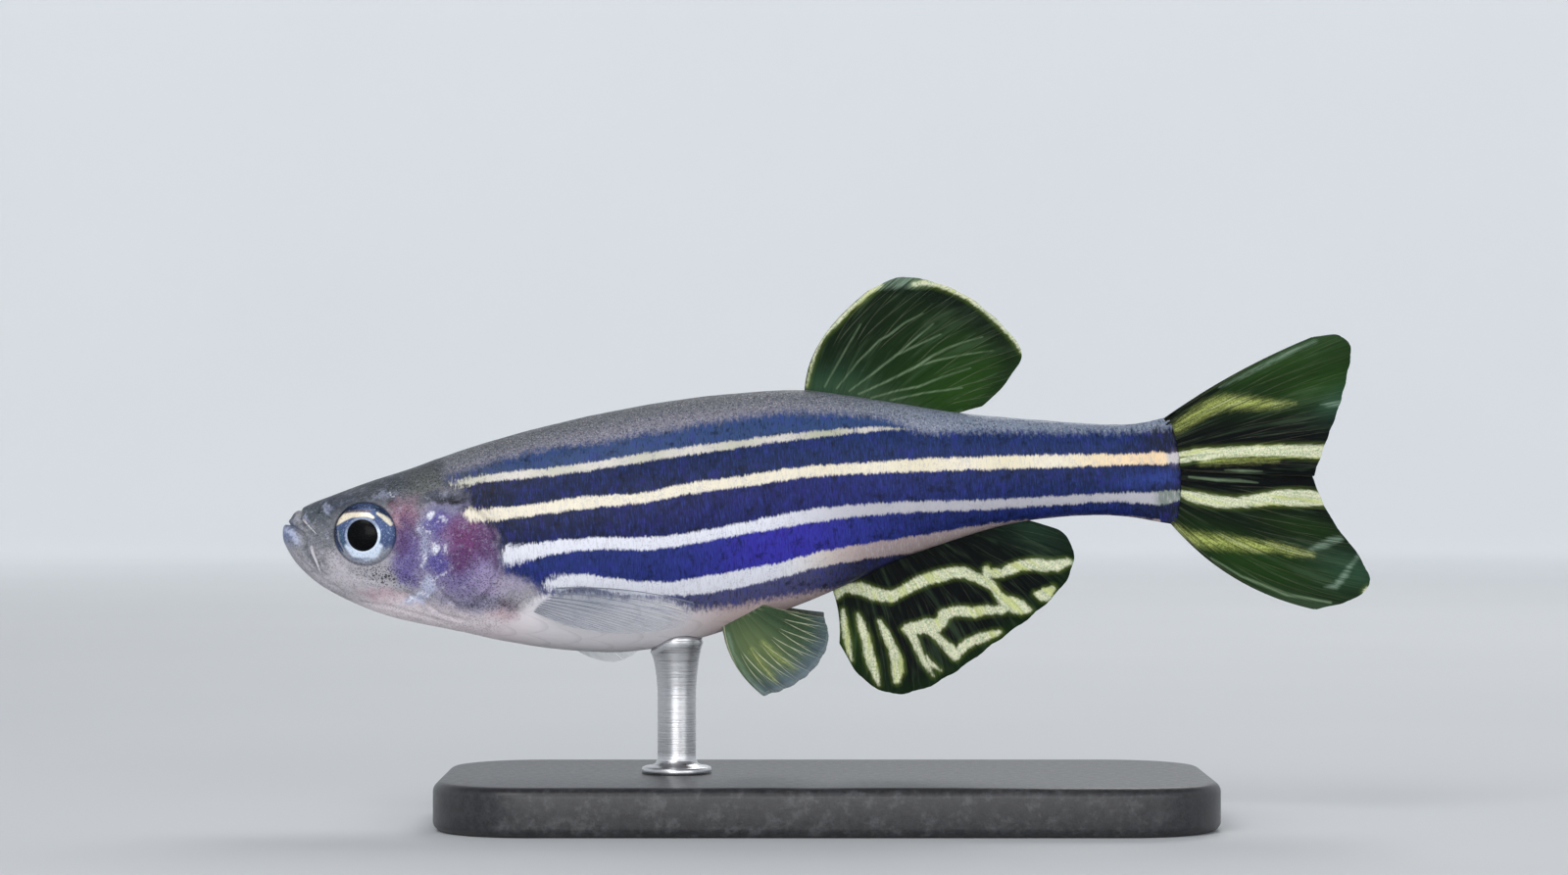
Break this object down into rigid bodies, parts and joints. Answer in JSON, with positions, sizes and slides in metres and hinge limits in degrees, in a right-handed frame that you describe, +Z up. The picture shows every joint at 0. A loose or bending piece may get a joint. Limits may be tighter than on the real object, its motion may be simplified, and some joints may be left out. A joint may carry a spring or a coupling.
{
  "type": "fish model on a stand",
  "caption": "Life-size model of a slim striped freshwater fish, a zebra danio, with spread fins and forked tail, held level on a rod over a flat base.",
  "frame": {"origin": "centre of the stand base's underside, below the middle of the fish's full length", "axes": "+X from the head to the tail, +Y to the fish's right side, +Z up"},
  "size_m": [0.0452, 0.016, 0.0227],
  "materials": {
    "skin": "wet scaled skin, silver white with dark blue stripes along the side",
    "eye": "wet, black pupil in a silver and pale gold iris",
    "fin": "thin see-through membrane between rays, with dark and pale yellow bands",
    "barbel": "soft wet skin",
    "stand_base": "satin black",
    "stand_rod": "brushed"
  },
  "bodies": {
    "root": {"head": "skin", "lower_jaw": "skin", "gill_cover_left": "skin", "gill_cover_right": "skin", "trunk": "skin", "tail_stalk": "skin", "eye_left": "eye", "eye_right": "eye", "dorsal_fin": "fin", "anal_fin": "fin", "caudal_fin_upper": "fin", "caudal_fin_lower": "fin", "pectoral_fin_left": "fin", "pectoral_fin_right": "fin", "pelvic_fin_left": "fin", "pelvic_fin_right": "fin", "mouth_barbel_left": "barbel", "mouth_barbel_right": "barbel", "nose_barbel_left": "barbel", "nose_barbel_right": "barbel", "stand_base": "stand_base", "stand_rod": "stand_rod"}
  },
  "joints": []
}
